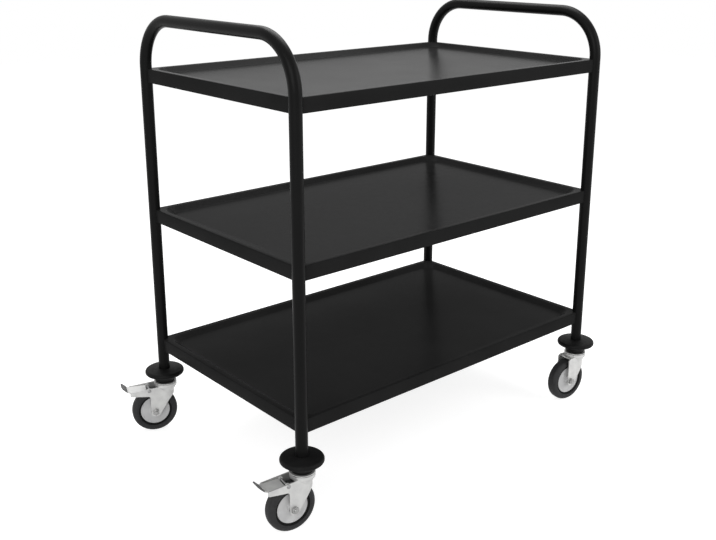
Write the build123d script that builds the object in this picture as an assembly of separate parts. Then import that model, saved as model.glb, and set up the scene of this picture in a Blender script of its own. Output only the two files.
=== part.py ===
from build123d import *
import math
import os

# Serving cart: two bent tube end frames carry three folded trays on four swivel casters.
# Millimetres, +Z up. The origin is on the floor midway between the legs.
# +X runs along the trays, -Y is the front. Both casters of the left end (-X) have a brake.

# End frames
LEG_PITCH_X = 828.0  # between leg axes along the trays
LEG_PITCH_Y = 504.0  # between leg axes across the trays
TUBE_D = 24.0
TUBE_WALL = 1.5
HANDLE_BEND_R = 97.0  # centre line of the two upper bends
HANDLE_RISE = 100.5  # handle axis above the top tray's rim
LEG_BELOW_TRAY = 62.0  # tube below the bottom tray's lower edge

# Trays
TRAY_COUNT = 3
TRAY_PITCH = 297.5
TRAY_OVERHANG_X = 3.5  # outer skirt face outside the leg axis
TRAY_OVERHANG_Y = 4.0
SHEET_T = 1.0
SKIRT_H = 28.0
SKIRT_EDGE_R = 2.0  # bend between rim and skirt
RIM_LAND = 12.0  # flat rim between the skirt and the sloped wall
RIM_FILLET = 3.0
WALL_RUN = 14.0  # level width of the sloped wall
RECESS_DEPTH = 10.5
RECESS_CORNER_R = 35.0
FLOOR_FILLET = 4.0
RETURN_FLANGE = 13.0
LEG_NOTCH_CLEARANCE = 0.15

# Corner joints between trays and legs
GUSSET_T = 2.0
GUSSET_H = 20.0
GUSSET_TUBE_GAP = 0.05
TRAY_BOLT_D = 6.0
TRAY_BOLT_LENGTH = 13.0
TRAY_BOLT_HEAD_D = 11.0
TRAY_BOLT_HEAD_H = 3.3
TRAY_BOLT_RISE = 13.0  # bolt axis above the tray's lower edge
BOLT_HOLE_CLEARANCE = 0.2
THREAD_CLEARANCE = 0.05
INSERT_D = 9.0
INSERT_LENGTH = 10.0
INSERT_SINK = 0.4  # outer end of the insert below the tube's surface
INSERT_CLEARANCE = 0.05

# Wheels
WHEEL_D = 100.0
WHEEL_TRAIL = 27.0  # axle behind the swivel axis
TYRE_W = 25.0
TYRE_SHOULDER_R = 9.0
RIM_R = 36.5  # wheel centre inside the tyre
RIM_W = 21.0
RIM_BEAD = 4.3  # width of the black ring round the cover
COVER_T = 1.6
COVER_SINK = 1.0  # cover face below the rim face
COVER_CLEARANCE = 0.1
COVER_LEDGE = 3.0  # step in the rim that the cover's edge rests on
WEB_T = 8.0
HUB_R = 9.5
HUB_SIDE_PLAY = 0.4

# Axles
AXLE_D = 8.0
AXLE_FIT = 0.05
SLEEVE_D = 12.0
AXLE_HEX = 13.0  # across flats
AXLE_HEAD_H = 5.3
AXLE_NUT_H = 5.0
AXLE_END = 1.5  # bolt beyond its nut

# Swivel heads
CROWN_CLEARANCE = 4.0  # fork crown above the tyre
CROWN_T = 2.8
BALL_D = 5.5
BALL_COUNT = 14
BALL_RING_R = 16.0
BALL_SINK = 0.55  # ball below the face of each race
BALL_CLEARANCE = 0.25
RACE_D = 44.0
RACE_T = 4.8
RACE_FLANGE_T = 2.2  # flange of the upper race over the cup
RACE_FLANGE_R = 0.8
CUP_WALL = 1.5
CUP_SIDE_GAP = 1.5
CUP_TOP_GAP = 0.8  # cup below the flange
CUP_EDGE_R = 2.5
STEM_D = 12.0
STEM_IN_SOCKET = 38.0
KING_PIN_D = 10.0
KING_PIN_FIT = 0.05
KING_PIN_HEAD_D = 18.0
KING_PIN_HEAD_H = 3.2
KING_PIN_END_PLAY = 0.3
SOCKET_LENGTH = 45.0
SOCKET_CLEARANCE = 0.05

# Forks, seen from the side: distances behind the swivel axis and heights
FORK_GAP = 33.0  # between the two legs
FORK_T = 2.5
FLARE_DROP = 9.0  # start of the flare from the legs out to the cup, below the crown
FORK_KNEE_LEAD = 5.0  # leading edge ahead of the swivel axis at the knee
FORK_KNEE_DROP = 27.0  # knee below the crown
FORK_KNEE_R = 50.0
FOOT_LEAD = 7.5  # foot of the leg round the axle
FOOT_TRAIL = 9.5
FOOT_DROP = 11.0
FOOT_R = 8.0
CROWN_BACK = 30.0  # crown plate behind the swivel axis
BRAKED_CROWN_BACK = 18.0
SHOULDER_RISE = 1.7  # upper edge of the legs above the crown plate
ARM_R = 6.0
ARM_LENGTH = 80.0  # braked forks: arm end behind the swivel axis
ARM_END_H = 10.0
ARM_ROOT_H = 20.0
ARM_END_R = 3.0

# Brakes
BRAKE_TRAVEL = 13.0  # degrees from free to pressed
PIVOT_BACK = 38.5
PIVOT_DROP = 2.0  # pivot below the crown's underside
PIN_D = 4.5
PIN_FIT = 0.05
PIN_HEAD_D = 8.0
PIN_HEAD_H = 1.5
PEDAL_T = 2.0
PEDAL_SIDE_GAP = 1.5  # pedal to fork leg
PEDAL_RISE = 0.5  # middle of the pedal plate above the pivot
PEDAL_START = 44.0
PEDAL_KNEE = 83.0  # where the tip turns up
PEDAL_TIP = 97.0
PEDAL_TIP_RISE = 14.0
PEDAL_KNEE_R = 9.0
TIP_CORNER_R = 7.0
EAR_R = 5.0
EAR_LENGTH = 14.0
SHOE_START = 46.0
SHOE_LENGTH = 14.0
SHOE_W = 20.0
SHOE_GAP = 0.4  # left between shoe and tyre when pressed

# Bumpers
BUMPER_D = 85.0
BUMPER_SEAT_T = 12.0  # web under the tube's end
BUMPER_H = 31.0
BUMPER_RIM_H = 23.0  # widest circle above the bumper's underside
BUMPER_RIM_T = 10.0
BUMPER_RIM_R = 4.8
BUMPER_HUB_D = 41.0  # lower end
BUMPER_NECK_D = 56.0  # hub under the rim
BUMPER_COLLAR_D = 31.0  # upper end round the tube
BUMPER_BORE_GAP = 0.15

# Heights that follow from the stack of pieces on the floor
WHEEL_R = WHEEL_D / 2
AXLE_Z = WHEEL_R
CROWN_Z = WHEEL_D + CROWN_CLEARANCE
CROWN_TOP = CROWN_Z + CROWN_T
BALL_Z = CROWN_TOP + BALL_D / 2 - BALL_SINK
RACE_Z = BALL_Z + BALL_D / 2 - BALL_SINK
BUMPER_Z = RACE_Z + RACE_T
TUBE_END_Z = BUMPER_Z + BUMPER_SEAT_T
TRAY_Z = [TUBE_END_Z + LEG_BELOW_TRAY + level * TRAY_PITCH for level in range(TRAY_COUNT)]
HANDLE_Z = TRAY_Z[-1] + SKIRT_H + HANDLE_RISE

# Sizes shared between pieces
TUBE_R = TUBE_D / 2
TRAY_X = LEG_PITCH_X + 2 * TRAY_OVERHANG_X
TRAY_Y = LEG_PITCH_Y + 2 * TRAY_OVERHANG_Y
FORK_INNER = FORK_GAP / 2
FORK_OUTER = FORK_INNER + FORK_T
CUP_INNER_R = RACE_D / 2 + CUP_SIDE_GAP
CUP_R = CUP_INNER_R + CUP_WALL
PIVOT_Z = CROWN_Z - PIVOT_DROP
PEDAL_HALF_W = FORK_INNER - PEDAL_SIDE_GAP

# Legs: side along X, side along Y, brake fitted
LEGS = {
    "front_left": (-1, -1, True),
    "rear_left": (-1, 1, True),
    "front_right": (1, -1, False),
    "rear_right": (1, 1, False),
}
# Direction in which each caster trails, in degrees from +X
TRAIL_ANGLE = {"front_left": 171.2, "rear_left": 158.7, "front_right": 172.5, "rear_right": 172.0}
TRAY_NAMES = ["bottom_tray", "middle_tray", "top_tray"]


def upright(points):
    """Face in the X-Z plane from corner points."""
    return make_face(Plane.XZ * Polyline(*points, close=True))


def turned(points):
    """Solid of revolution about Z from points (radius, height)."""
    return revolve(upright(points), Axis.Z)


def rod(diameter, low, high):
    """Upright cylinder about Z between two heights."""
    return Pos(0, 0, low) * Cylinder(diameter / 2, high - low, align=(Align.CENTER, Align.CENTER, Align.MIN))


def cross_rod(diameter, low, high):
    """Cylinder about Y between two distances along Y."""
    return Rot(-90, 0, 0) * rod(diameter, low, high)


def side_plate(outline, inner, outer):
    """Plate with an outline in the X-Z plane, standing between two distances along Y."""
    return Pos(0, outer, 0) * extrude(make_face(Plane.XZ * outline), outer - inner)


def leg_axis(leg):
    """Place of a leg's axis on the floor."""
    side_x, side_y = LEGS[leg][:2]
    return side_x * LEG_PITCH_X / 2, side_y * LEG_PITCH_Y / 2


def at_leg(leg, shape):
    """Shape of a caster moved from its own frame to a leg, turned to the way it trails."""
    x, y = leg_axis(leg)
    return Pos(x, y, 0) * Rot(0, 0, TRAIL_ANGLE[leg]) * shape


def corner_plane(leg, level):
    """Frame of a tray's bolt: X runs from the leg's axis inwards along the corner's diagonal."""
    side_x, side_y = LEGS[leg][:2]
    x, y = leg_axis(leg)
    return Plane(origin=(x, y, TRAY_Z[level] + TRAY_BOLT_RISE), x_dir=(-side_x, -side_y, 0), z_dir=(0, 0, 1))


def diagonal_rod(leg, level, diameter, low, high):
    """Cylinder along a corner's diagonal, between two distances from the leg's axis."""
    return corner_plane(leg, level) * (Rot(0, 90, 0) * rod(diameter, low, high))


def end_frame(side):
    """Bent tube with two legs and a handle bar, drilled for the inserts."""
    x = side * LEG_PITCH_X / 2
    half = LEG_PITCH_Y / 2
    path = FilletPolyline(
        (x, -half, TUBE_END_Z),
        (x, -half, HANDLE_Z),
        (x, half, HANDLE_Z),
        (x, half, TUBE_END_Z),
        radius=HANDLE_BEND_R,
    )
    foot = Plane(origin=(x, -half, TUBE_END_Z), z_dir=(0, 0, 1))
    tube = sweep(foot * Circle(TUBE_R), path) - sweep(foot * Circle(TUBE_R - TUBE_WALL), path)
    for leg in LEGS:
        if LEGS[leg][0] == side:
            for level in range(TRAY_COUNT):
                tube -= diagonal_rod(leg, level, INSERT_D + 2 * INSERT_CLEARANCE, 0, TUBE_D)
    return tube


def tapered_pan(top_margin, top_r, low_margin, low_r, top_z, low_z):
    """Block with rounded corners and sloped sides, set in from the tray's outline."""
    top = RectangleRounded(TRAY_X - 2 * top_margin, TRAY_Y - 2 * top_margin, top_r)
    low = RectangleRounded(TRAY_X - 2 * low_margin, TRAY_Y - 2 * low_margin, low_r)
    return loft([Pos(0, 0, low_z) * low, Pos(0, 0, top_z) * top], ruled=True)


def tray():
    """Folded tray: skirt, rim, sloped wall, sunk floor and return flange, with its lower edge at zero."""
    floor_z = SKIRT_H - RECESS_DEPTH
    sheet_level = SHEET_T / math.sin(math.atan2(RECESS_DEPTH, WALL_RUN))
    under_run = WALL_RUN * (RECESS_DEPTH + SHEET_T) / RECESS_DEPTH
    under_margin = RIM_LAND - sheet_level
    under_r = RECESS_CORNER_R + sheet_level

    body = extrude(Rectangle(TRAY_X, TRAY_Y), SKIRT_H)
    body = fillet(body.faces().sort_by(Axis.Z)[-1].edges(), SKIRT_EDGE_R)

    recess = tapered_pan(
        RIM_LAND, RECESS_CORNER_R, RIM_LAND + WALL_RUN, RECESS_CORNER_R - WALL_RUN, SKIRT_H, floor_z
    )
    recess = fillet(recess.faces().sort_by(Axis.Z)[0].edges(), FLOOR_FILLET)
    body -= recess
    rim = body.faces().sort_by(Axis.Z)[-1]
    body = fillet(rim.inner_wires()[0].edges(), RIM_FILLET)

    pan = tapered_pan(
        under_margin, under_r, under_margin + under_run, under_r - under_run, SKIRT_H, floor_z - SHEET_T
    )
    pan = fillet(pan.faces().sort_by(Axis.Z)[0].edges(), FLOOR_FILLET + SHEET_T)
    hollow = Pos(0, 0, SHEET_T) * extrude(
        Rectangle(TRAY_X - 2 * SHEET_T, TRAY_Y - 2 * SHEET_T), SKIRT_H - 2 * SHEET_T
    )
    body -= hollow - pan
    body -= extrude(Rectangle(TRAY_X - 2 * RETURN_FLANGE, TRAY_Y - 2 * RETURN_FLANGE), SHEET_T)

    for leg in LEGS:
        x, y = leg_axis(leg)
        body -= Pos(x, y, 0) * rod(TUBE_D + 2 * LEG_NOTCH_CLEARANCE, -SHEET_T, SKIRT_H + SHEET_T)
    return body


def gusset(leg, level):
    """Bracket across a tray corner, flush with both skirt walls and drilled for the bolt."""
    side_x, side_y = LEGS[leg][:2]
    x, y = leg_axis(leg)
    wall_x = SHEET_T - TRAY_OVERHANG_X
    wall_y = SHEET_T - TRAY_OVERHANG_Y
    near = math.sqrt(2) * (TUBE_R + GUSSET_TUBE_GAP)
    far = near + math.sqrt(2) * GUSSET_T
    inward = [(wall_x, near - wall_x), (wall_x, far - wall_x), (far - wall_y, wall_y), (near - wall_y, wall_y)]
    outline = [(x - side_x * along, y - side_y * across) for along, across in inward]
    plate = extrude(make_face(Polyline(*outline, close=True)), GUSSET_H, dir=(0, 0, 1))
    hole = diagonal_rod(leg, level, TRAY_BOLT_D + 2 * BOLT_HOLE_CLEARANCE, 0, 2 * TUBE_D)
    return Pos(0, 0, TRAY_Z[level] + SHEET_T) * plate - hole


def tray_bolt(leg, level):
    """Bolt from inside a tray's corner into the leg."""
    seat = TUBE_R + GUSSET_TUBE_GAP + GUSSET_T
    shank = diagonal_rod(leg, level, TRAY_BOLT_D, seat - TRAY_BOLT_LENGTH, seat)
    return shank + diagonal_rod(leg, level, TRAY_BOLT_HEAD_D, seat, seat + TRAY_BOLT_HEAD_H)


def tube_insert(leg, level):
    """Threaded insert set in a leg's wall."""
    outer = TUBE_R - INSERT_SINK
    body = diagonal_rod(leg, level, INSERT_D, outer - INSERT_LENGTH, outer)
    return body - diagonal_rod(leg, level, TRAY_BOLT_D + 2 * THREAD_CLEARANCE, 0, TUBE_D)


def caster_socket():
    """Plug in the tube's lower end, bored for the stem."""
    outer_d = TUBE_D - 2 * TUBE_WALL - 2 * SOCKET_CLEARANCE
    plug = rod(outer_d, TUBE_END_Z, TUBE_END_Z + SOCKET_LENGTH)
    return plug - rod(STEM_D + 2 * SOCKET_CLEARANCE, TUBE_END_Z, TUBE_END_Z + SOCKET_LENGTH)


def bumper():
    """Saucer round the lower end of a leg, seated on the caster's race."""
    rim_low = BUMPER_Z + BUMPER_RIM_H - BUMPER_RIM_T / 2
    rim_high = rim_low + BUMPER_RIM_T
    body = turned(
        [
            (0, BUMPER_Z),
            (BUMPER_HUB_D / 2, BUMPER_Z),
            (BUMPER_NECK_D / 2, rim_low),
            (BUMPER_D / 2, rim_low),
            (BUMPER_D / 2, rim_high),
            (BUMPER_COLLAR_D / 2, BUMPER_Z + BUMPER_H),
            (0, BUMPER_Z + BUMPER_H),
        ]
    )
    rim_edges = body.edges().filter_by(GeomType.CIRCLE).sort_by(SortBy.RADIUS)[-2:]
    body = fillet(rim_edges, BUMPER_RIM_R)
    body -= rod(STEM_D + 2 * BUMPER_BORE_GAP, BUMPER_Z, TUBE_END_Z)
    return body - rod(TUBE_D + 2 * BUMPER_BORE_GAP, TUBE_END_Z, BUMPER_Z + BUMPER_H)


def ball_groove():
    """Ring of clearance round the balls, cut into both races."""
    return Pos(0, 0, BALL_Z) * Torus(BALL_RING_R, BALL_D / 2 + BALL_CLEARANCE)


def caster_stem():
    """Stem, flanged upper race and king pin, riveted under the fork's crown."""
    head_top = CROWN_Z - KING_PIN_END_PLAY
    flange = rod(2 * CUP_R, BUMPER_Z - RACE_FLANGE_T, BUMPER_Z)
    flange = fillet(flange.edges().filter_by(GeomType.CIRCLE), RACE_FLANGE_R)
    race = rod(RACE_D, RACE_Z, BUMPER_Z) - ball_groove()
    stem = rod(STEM_D, BUMPER_Z, TUBE_END_Z + STEM_IN_SOCKET)
    pin = rod(KING_PIN_D, head_top, RACE_Z)
    return flange + race + stem + pin + rod(KING_PIN_HEAD_D, head_top - KING_PIN_HEAD_H, head_top)


def swivel_balls():
    """Ring of balls under the upper race."""
    ring = []
    for index in range(BALL_COUNT):
        turn = Rot(0, 0, 360 * index / BALL_COUNT)
        ring.append((turn * Pos(BALL_RING_R, 0, BALL_Z) * Sphere(BALL_D / 2)).solid())
    return Compound(ring)


def fork_outline(braked):
    """Side view of a fork leg, with a brake arm reaching back where one is fitted."""
    top = CROWN_TOP + SHOULDER_RISE
    foot = AXLE_Z - FOOT_DROP
    back = WHEEL_TRAIL + FOOT_TRAIL
    corners = [
        ((-CUP_R, top), 0),
        ((-CUP_R, CROWN_Z - FLARE_DROP), 0),
        ((-FORK_KNEE_LEAD, CROWN_Z - FORK_KNEE_DROP), FORK_KNEE_R),
        ((WHEEL_TRAIL - FOOT_LEAD, foot), FOOT_R),
        ((back, foot), FOOT_R),
    ]
    if braked:
        corners += [
            ((back, top - ARM_ROOT_H), ARM_R),
            ((ARM_LENGTH, CROWN_Z - ARM_END_H), ARM_END_R),
            ((ARM_LENGTH, CROWN_Z), ARM_END_R),
            ((BRAKED_CROWN_BACK, top), 0),
        ]
    else:
        corners += [((back, CROWN_Z), ARM_R), ((CROWN_BACK, top), 0)]
    return FilletPolyline(*[place for place, _ in corners], radius=[r for _, r in corners], close=True)


def fork_block(half, flare, crown):
    """Upright block round in front and straight behind, which flares out to a wider circle under the crown."""
    plan = Circle(half) + Pos(ARM_LENGTH / 2, 0) * Rectangle(ARM_LENGTH, 2 * half)
    flare_z = CROWN_Z - FLARE_DROP
    cone = turned([(0, flare_z), (half, flare_z), (flare, crown), (0, crown)])
    cone_back = math.sqrt(CUP_R**2 - FORK_OUTER**2)
    cone &= Pos(cone_back, 0, flare_z) * Box(
        2 * CUP_R, 2 * CUP_R, crown - flare_z, align=(Align.MAX, Align.CENTER, Align.MIN)
    )
    return extrude(plan, crown, dir=(0, 0, 1)) + cone


def fork(braked):
    """Pressed fork: round cup on two legs that close in front, drilled for king pin, axle and brake pin."""
    crown_back = BRAKED_CROWN_BACK if braked else CROWN_BACK
    legs = fork_block(FORK_OUTER, CUP_R, CROWN_TOP + SHOULDER_RISE)
    legs -= fork_block(FORK_INNER, CUP_R - FORK_T, CROWN_Z)
    legs -= Pos(0, 0, CROWN_TOP) * Box(
        2 * ARM_LENGTH, FORK_GAP, SHOULDER_RISE, align=(Align.CENTER, Align.CENTER, Align.MIN)
    )
    legs -= Pos(crown_back, 0, CROWN_Z) * Box(
        ARM_LENGTH, FORK_GAP, CROWN_T, align=(Align.MIN, Align.CENTER, Align.MIN)
    )
    legs &= side_plate(fork_outline(braked), -CUP_R, CUP_R)
    cup = rod(2 * CUP_R, CROWN_Z, BUMPER_Z - RACE_FLANGE_T - CUP_TOP_GAP)
    cup = fillet(cup.edges().sort_by(Axis.Z)[:1], CUP_EDGE_R)
    body = cup + legs - rod(2 * CUP_INNER_R, CROWN_TOP, BUMPER_Z)
    body -= ball_groove()
    body -= rod(KING_PIN_D + 2 * KING_PIN_FIT, CROWN_Z, CROWN_TOP)
    body -= Pos(WHEEL_TRAIL, 0, AXLE_Z) * cross_rod(AXLE_D + 2 * AXLE_FIT, -FORK_OUTER, FORK_OUTER)
    if braked:
        body -= Pos(PIVOT_BACK, 0, PIVOT_Z) * cross_rod(PIN_D + 2 * PIN_FIT, -FORK_OUTER, FORK_OUTER)
    return body


def on_axle(shape):
    """Shape about the Y axis moved to the wheel's axle."""
    return Pos(WHEEL_TRAIL, 0, AXLE_Z) * shape


def hexagon(low, high):
    """Hexagonal head or nut about Y."""
    block = extrude(RegularPolygon(AXLE_HEX / 2, 6, major_radius=False), high - low)
    return Rot(-90, 0, 0) * Pos(0, 0, low) * block


def axle_bolt():
    """Bolt through both fork legs."""
    shank = cross_rod(AXLE_D, -FORK_OUTER, FORK_OUTER + AXLE_NUT_H + AXLE_END)
    return on_axle(shank + hexagon(-FORK_OUTER - AXLE_HEAD_H, -FORK_OUTER))


def axle_nut():
    """Nut on the axle's outer end."""
    nut = hexagon(FORK_OUTER, FORK_OUTER + AXLE_NUT_H)
    return on_axle(nut - cross_rod(AXLE_D + 2 * AXLE_FIT, FORK_OUTER, FORK_OUTER + AXLE_NUT_H))


def axle_sleeve():
    """Sleeve between the fork legs, which the wheel runs on."""
    sleeve = cross_rod(SLEEVE_D, -FORK_INNER, FORK_INNER)
    return on_axle(sleeve - cross_rod(AXLE_D + 2 * AXLE_FIT, -FORK_INNER, FORK_INNER))


def wheel_core():
    """Wheel centre: hub, web and rim, stepped on both sides for the covers."""
    bore = SLEEVE_D / 2 + AXLE_FIT
    hub_end = FORK_INNER - HUB_SIDE_PLAY
    step = RIM_W / 2 - COVER_SINK - COVER_T
    cover_r = RIM_R - RIM_BEAD
    half = [
        (bore, hub_end),
        (HUB_R, hub_end),
        (HUB_R, WEB_T / 2),
        (cover_r - COVER_LEDGE, WEB_T / 2),
        (cover_r - COVER_LEDGE, step),
        (cover_r, step),
        (cover_r, RIM_W / 2),
        (RIM_R, RIM_W / 2),
    ]
    other = [(radius, -across) for radius, across in reversed(half)]
    return on_axle(revolve(make_face(Polyline(*half, *other, close=True)), Axis.Y))


def tyre():
    """Solid rubber tyre with rounded shoulders."""
    band = cross_rod(WHEEL_D, -TYRE_W / 2, TYRE_W / 2)
    band = fillet(band.edges().filter_by(GeomType.CIRCLE), TYRE_SHOULDER_R)
    return on_axle(band - cross_rod(2 * RIM_R, -TYRE_W / 2, TYRE_W / 2))


def wheel_covers():
    """Disc clipped into each side of the wheel, round the hub."""
    face = RIM_W / 2 - COVER_SINK
    outer_d = 2 * (RIM_R - RIM_BEAD - COVER_CLEARANCE)
    inner_d = 2 * (HUB_R + COVER_CLEARANCE)
    discs = []
    for low, high in ((face - COVER_T, face), (-face, COVER_T - face)):
        discs.append(on_axle(cross_rod(outer_d, low, high) - cross_rod(inner_d, low, high)).solid())
    return Compound(discs)


def brake_pin():
    """Rivet through both arms of the fork, which the pedal turns on."""
    pin = cross_rod(PIN_D, -FORK_OUTER, FORK_OUTER)
    pin += cross_rod(PIN_HEAD_D, FORK_OUTER, FORK_OUTER + PIN_HEAD_H)
    pin += cross_rod(PIN_HEAD_D, -FORK_OUTER - PIN_HEAD_H, -FORK_OUTER)
    return Pos(PIVOT_BACK, 0, PIVOT_Z) * pin


def brake_pedal():
    """Foot plate between the arms with a turned-up tip and an ear round the pin on each side."""
    level = PIVOT_Z + PEDAL_RISE
    line = FilletPolyline(
        (PEDAL_START, level),
        (PEDAL_KNEE, level),
        (PEDAL_TIP, level + PEDAL_TIP_RISE),
        radius=PEDAL_KNEE_R,
    )
    start = Plane(origin=(PEDAL_START, 0, level), x_dir=(0, 1, 0), z_dir=(1, 0, 0))
    plate = sweep(start * Rectangle(2 * PEDAL_HALF_W, PEDAL_T), Plane.XZ * line)
    tip = plate.faces().sort_by(Axis.X)[-1]
    plate = fillet(tip.edges().sort_by(SortBy.LENGTH)[:2], TIP_CORNER_R)

    ear = Pos(PIVOT_BACK, PIVOT_Z) * Circle(EAR_R)
    ear += Pos(PIVOT_BACK + EAR_LENGTH / 2, PIVOT_Z - (EAR_R - PEDAL_RISE) / 2) * Rectangle(
        EAR_LENGTH, EAR_R + PEDAL_RISE
    )
    for low, high in ((PEDAL_HALF_W - PEDAL_T, PEDAL_HALF_W), (-PEDAL_HALF_W, PEDAL_T - PEDAL_HALF_W)):
        plate += Pos(0, high, 0) * extrude(Plane.XZ * ear, high - low)
    return plate - Pos(PIVOT_BACK, 0, PIVOT_Z) * cross_rod(PIN_D + 2 * PIN_FIT, -FORK_OUTER, FORK_OUTER)


def brake_shoe():
    """Block under the pedal, hollowed to the tyre's round as it lies when pressed."""
    top = PIVOT_Z + PEDAL_RISE - PEDAL_T / 2
    block = Pos(SHOE_START, 0, top) * Box(
        SHOE_LENGTH, SHOE_W, WHEEL_R, align=(Align.MIN, Align.CENTER, Align.MAX)
    )
    pressed = Pos(PIVOT_BACK, 0, PIVOT_Z) * Rot(0, -BRAKE_TRAVEL, 0) * Pos(-PIVOT_BACK, 0, -PIVOT_Z)
    wheel = pressed * on_axle(cross_rod(WHEEL_D + 2 * SHOE_GAP, -FORK_INNER, FORK_INNER))
    return (block - wheel).solids().sort_by(Axis.Z)[-1]


os.makedirs("parts", exist_ok=True)


def save(name, shape):
    """Write one piece under its name."""
    export_step(shape, f"parts/{name}.step")


save("left_end_frame", end_frame(-1))
save("right_end_frame", end_frame(1))
folded = tray()
for level, name in enumerate(TRAY_NAMES):
    save(name, Pos(0, 0, TRAY_Z[level]) * folded)
corners = [(leg, level) for level in range(TRAY_COUNT) for leg in LEGS]
save("tray_gussets", Compound([gusset(*corner).solid() for corner in corners]))
save("tray_bolts", Compound([tray_bolt(*corner).solid() for corner in corners]))
save("tube_inserts", Compound([tube_insert(*corner).solid() for corner in corners]))

plain = {
    "caster_socket": caster_socket(),
    "bumper": bumper(),
    "caster_stem": caster_stem(),
    "swivel_balls": swivel_balls(),
    "axle_bolt": axle_bolt(),
    "axle_nut": axle_nut(),
    "axle_sleeve": axle_sleeve(),
    "wheel_core": wheel_core(),
    "tyre": tyre(),
    "wheel_covers": wheel_covers(),
}
brake = {"brake_pedal": brake_pedal(), "brake_pin": brake_pin(), "brake_shoe": brake_shoe()}
forks = {True: fork(True), False: fork(False)}
for leg in LEGS:
    braked = LEGS[leg][2]
    pieces = dict(plain, fork=forks[braked])
    if braked:
        pieces.update(brake)
    for piece, shape in pieces.items():
        save(f"{leg}_{piece}", at_leg(leg, shape))
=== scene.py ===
import math

import bmesh
import bpy
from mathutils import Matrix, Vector


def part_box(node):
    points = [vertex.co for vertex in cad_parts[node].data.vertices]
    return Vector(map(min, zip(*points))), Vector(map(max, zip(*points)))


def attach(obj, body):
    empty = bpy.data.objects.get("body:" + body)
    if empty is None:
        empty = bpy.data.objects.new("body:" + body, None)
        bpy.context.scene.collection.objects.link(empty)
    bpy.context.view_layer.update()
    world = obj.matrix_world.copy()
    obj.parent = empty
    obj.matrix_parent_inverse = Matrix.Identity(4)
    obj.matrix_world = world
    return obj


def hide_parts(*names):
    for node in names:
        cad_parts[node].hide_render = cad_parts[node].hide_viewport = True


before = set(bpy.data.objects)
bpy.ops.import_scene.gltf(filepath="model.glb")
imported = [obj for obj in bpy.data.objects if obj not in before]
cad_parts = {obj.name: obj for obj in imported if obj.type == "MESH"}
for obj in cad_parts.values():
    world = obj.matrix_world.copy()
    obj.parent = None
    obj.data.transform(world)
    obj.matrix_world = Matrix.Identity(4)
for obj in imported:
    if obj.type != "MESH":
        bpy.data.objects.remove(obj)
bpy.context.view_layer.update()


# End frames: each is one steel tube bent cold into an upside-down U, whose bar is the push handle.
# The tube is 24 mm across with a wall of 1.5 mm, and is powder coated satin black.
MM = 0.001
TUBE_R = 12 * MM
TUBE_WALL = 1.5 * MM
HANDLE_BEND_R = 97 * MM
TUBE_SIDES = 64
BEND_STEPS = 28
QUARTER_TURN = math.radians(90)
MERGE = 0.01 * MM
TINT_FROM = 0.35
TINT_TO = 0.65
ROUGHEN_FROM = 0.3
ROUGHEN_TO = 0.7


def deselect():
    """Leave nothing selected, so that the next operator acts on the next shape alone."""
    bpy.ops.object.select_all(action="DESELECT")


def make_active(shape):
    """Select one shape alone and make it the active one."""
    deselect()
    shape.select_set(True)
    bpy.context.view_layer.objects.active = shape


def rename(shape, name):
    """Give a shape and its mesh one name."""
    shape.name = name
    shape.data.name = name


def settle():
    """Put the selected shape's place, turn and scale into its mesh."""
    bpy.ops.object.transform_apply(location=True, rotation=True, scale=True)


def open_shape(name):
    """Name the primitive just added, put its place into its mesh and open it, all selected."""
    shape = bpy.context.object
    rename(shape, name)
    settle()
    bpy.ops.object.mode_set(mode="EDIT")
    bpy.ops.mesh.select_all(action="SELECT")
    return shape


def close_shape():
    """Merge the open shape's doubles, turn its faces outwards and leave edit mode."""
    bpy.ops.mesh.select_all(action="SELECT")
    bpy.ops.mesh.remove_doubles(threshold=MERGE)
    bpy.ops.mesh.normals_make_consistent(inside=False)
    bpy.ops.object.mode_set(mode="OBJECT")


def pick(test):
    """Select the vertices of the open shape whose place passes a test, with the edges between them."""
    bpy.ops.mesh.select_mode(type="VERT")
    bpy.ops.mesh.select_all(action="DESELECT")
    mesh = bmesh.from_edit_mesh(bpy.context.object.data)
    for vertex in mesh.verts:
        if test(vertex.co):
            vertex.select_set(True)
    mesh.select_flush_mode()
    bmesh.update_edit_mesh(bpy.context.object.data)


def draw(x, y, z):
    """Extrude what is selected in the open shape by a step."""
    bpy.ops.mesh.extrude_region_move(TRANSFORM_OT_translate={"value": (x, y, z)})


def apply_modifier(shape, kind, **settings):
    """Give a shape a modifier with these settings and apply it."""
    modifier = shape.modifiers.new(kind, kind)
    for setting, value in settings.items():
        setattr(modifier, setting, value)
    make_active(shape)
    bpy.ops.object.modifier_apply(modifier=modifier.name)


def smooth(shape, degrees=35):
    """Shade a shape smooth across all edges up to an angle."""
    make_active(shape)
    bpy.ops.object.shade_smooth_by_angle(angle=math.radians(degrees))


def new_finish(name, colour, roughness, metallic=0.0, specular=0.5):
    """Material with its plain values on the shader, ready for grain."""
    finish = bpy.data.materials.new(name)
    finish.use_nodes = True
    shader = finish.node_tree.nodes["Principled BSDF"]
    shader.inputs["Base Color"].default_value = (*colour, 1)
    shader.inputs["Roughness"].default_value = roughness
    shader.inputs["Metallic"].default_value = metallic
    shader.inputs["Specular IOR Level"].default_value = specular
    return finish


def add_grain(finish, scale, detail=3, stretch=(1, 1, 1)):
    """Noise in the piece's own space, with so many grains to the metre. Returns its output."""
    nodes = finish.node_tree.nodes
    links = finish.node_tree.links
    place = nodes.new("ShaderNodeTexCoord")
    mapping = nodes.new("ShaderNodeMapping")
    mapping.inputs["Scale"].default_value = stretch
    noise = nodes.new("ShaderNodeTexNoise")
    noise.inputs["Scale"].default_value = scale
    noise.inputs["Detail"].default_value = detail
    links.new(place.outputs["Object"], mapping.inputs["Vector"])
    links.new(mapping.outputs["Vector"], noise.inputs["Vector"])
    return noise.outputs["Fac"]


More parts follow.
